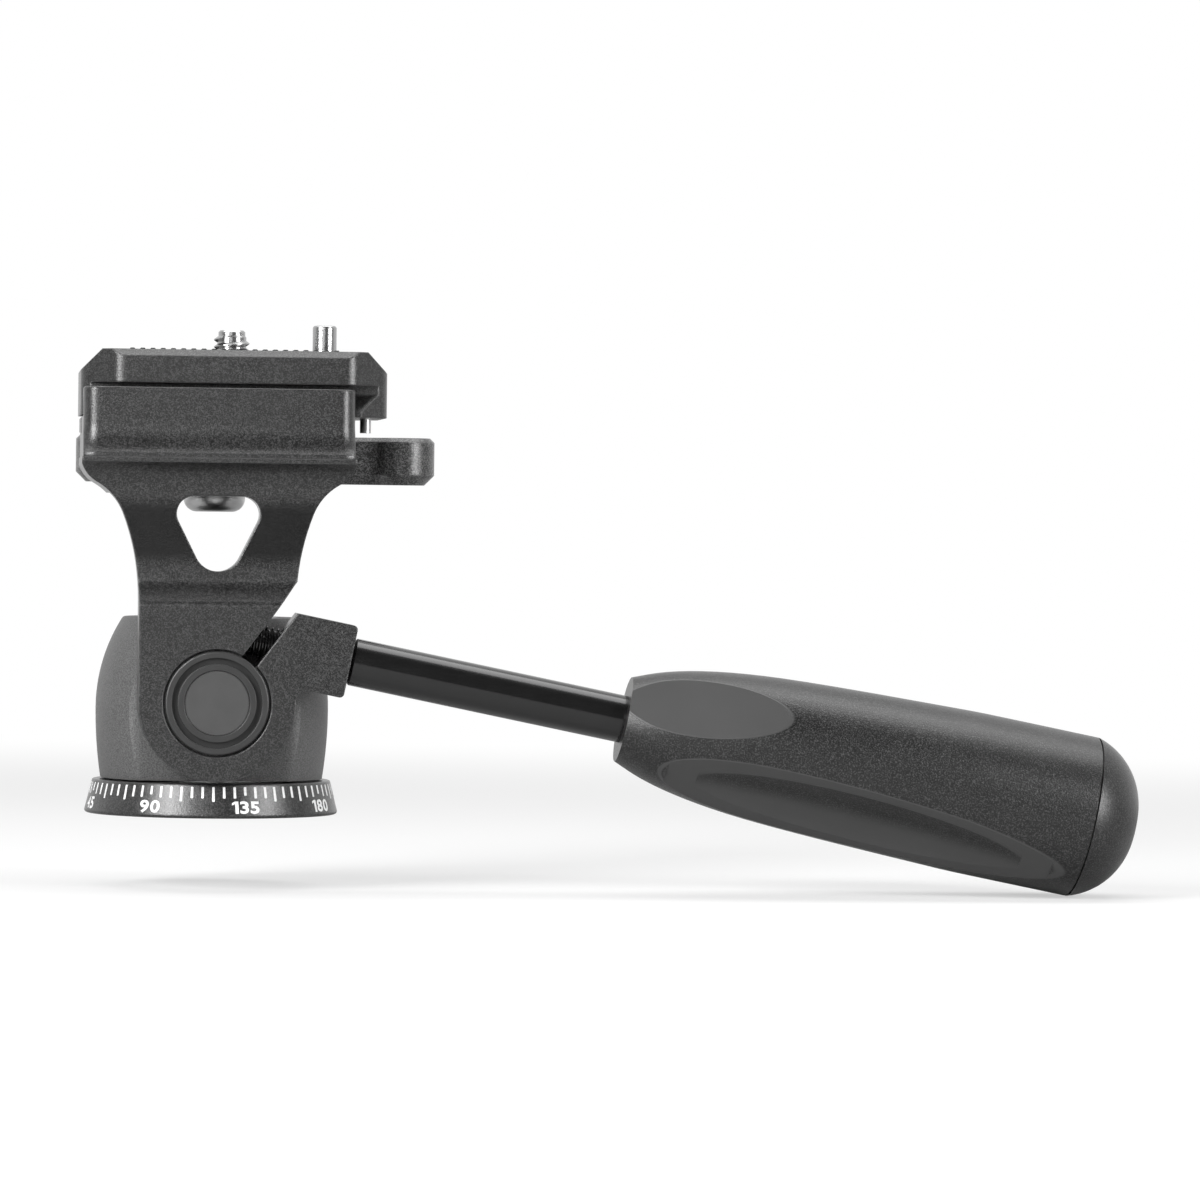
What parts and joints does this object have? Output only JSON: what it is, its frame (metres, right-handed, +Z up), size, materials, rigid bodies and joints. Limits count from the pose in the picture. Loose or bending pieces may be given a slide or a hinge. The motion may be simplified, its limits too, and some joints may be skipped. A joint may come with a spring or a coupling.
{
  "type": "tripod pan and tilt head",
  "caption": "Compact pan and tilt tripod head: a panning barrel on a graduated base, a tilting side yoke, a lever clamp with a sliding camera plate, and a twist handle that locks the tilt.",
  "frame": {"origin": "mouth of the tripod thread, in the plane of the base", "axes": "+Z up the pan axis towards the camera, +X from the pan axis towards the handle, -Y is the side where the yoke's arm stands"},
  "size_m": [0.1885, 0.0645, 0.1],
  "materials": {
    "black_anodised": "bead-blasted, black anodised",
    "grey_paint": "mid-grey satin paint on a cast aluminium barrel",
    "steel": "turned steel",
    "polished_steel": "polished stainless steel",
    "bearing_plastic": "plain bearing plastic",
    "bearing_brass": "turned brass",
    "black_plastic": "moulded black plastic",
    "pad_rubber": "ridged black rubber",
    "rod_black": "gloss black anodised",
    "grip_plastic": "moulded dark-grey plastic with a fine grain"
  },
  "bodies": {
    "base": {"scale_ring": "black_anodised", "pan_spindle": "steel", "thread_insert": "steel", "base_screws": "steel", "disc_spring": "steel", "pan_nut": "steel"},
    "pan_body": {"barrel_body": "grey_paint", "thrust_washer": "bearing_plastic", "pan_bush": "bearing_brass", "top_cover": "black_plastic", "tilt_hub": "steel", "hub_cap": "black_anodised", "cap_disc": "black_anodised", "hub_bolt": "steel"},
    "tilt_yoke": {"yoke": "black_anodised", "tilt_bush": "bearing_plastic", "clamp_body": "black_anodised", "clamp_bolt": "steel", "clamp_dowels": "steel"},
    "jaw": {"moving_jaw": "black_anodised"},
    "lever": {"clamp_lever": "black_anodised", "lever_shaft": "steel", "shaft_clip": "steel", "lever_washer": "bearing_plastic", "lever_screw": "steel"},
    "plate": {"camera_plate": "black_anodised", "grip_pad": "pad_rubber", "stop_pins": "steel", "pin_plug": "black_anodised", "pin_spring": "steel"},
    "pin": {"guide_pin": "polished_steel"},
    "screw": {"camera_screw": "polished_steel", "screw_clip": "steel"},
    "handle": {"handle_rod": "rod_black", "grip": "grip_plastic", "grip_end_cap": "grip_plastic"}
  },
  "joints": [
    {"name": "pan", "type": "hinge", "parent": "base", "child": "pan_body", "pos_m": [0, 0, 0], "axis": [0, 0, 1], "continuous": true},
    {"name": "tilt", "type": "hinge", "parent": "pan_body", "child": "tilt_yoke", "pos_m": [0, 0, 0.0203], "axis": [0, -1, 0], "range_deg": [-35, 90]},
    {"name": "lever_swing", "type": "hinge", "parent": "tilt_yoke", "child": "lever", "pos_m": [-0.0169, 0.0228, 0.063], "axis": [0, 0, 1], "range_deg": [0, 90]},
    {"name": "jaw_slide", "type": "slide", "parent": "tilt_yoke", "child": "jaw", "axis": [0, 1, 0], "range_m": [0, 0.00213]},
    {"name": "plate_slide", "type": "slide", "parent": "tilt_yoke", "child": "plate", "axis": [1, 0, 0], "range_m": [-0.0056, 0]},
    {"name": "guide_pin_press", "type": "slide", "parent": "plate", "child": "pin", "axis": [0, 0, -1], "range_m": [0, 0.0051], "stiffness_N_per_m": 300, "springref_m": -0.003, "deforming": ["pin_spring"]},
    {"name": "camera_screw_turn", "type": "hinge", "parent": "plate", "child": "screw", "pos_m": [0.0028, 0, 0.08], "axis": [0, 0, 1], "continuous": true},
    {"name": "handle_twist", "type": "hinge", "parent": "tilt_yoke", "child": "handle", "pos_m": [0.00236, -0.0198, 0.03201], "axis": [0.9803, 0, -0.1977], "range_deg": [0, 360]}
  ],
  "couplings": [
    {"joint": "jaw_slide", "follows": "lever_swing", "m_per_rad": 0.0013505}
  ]
}
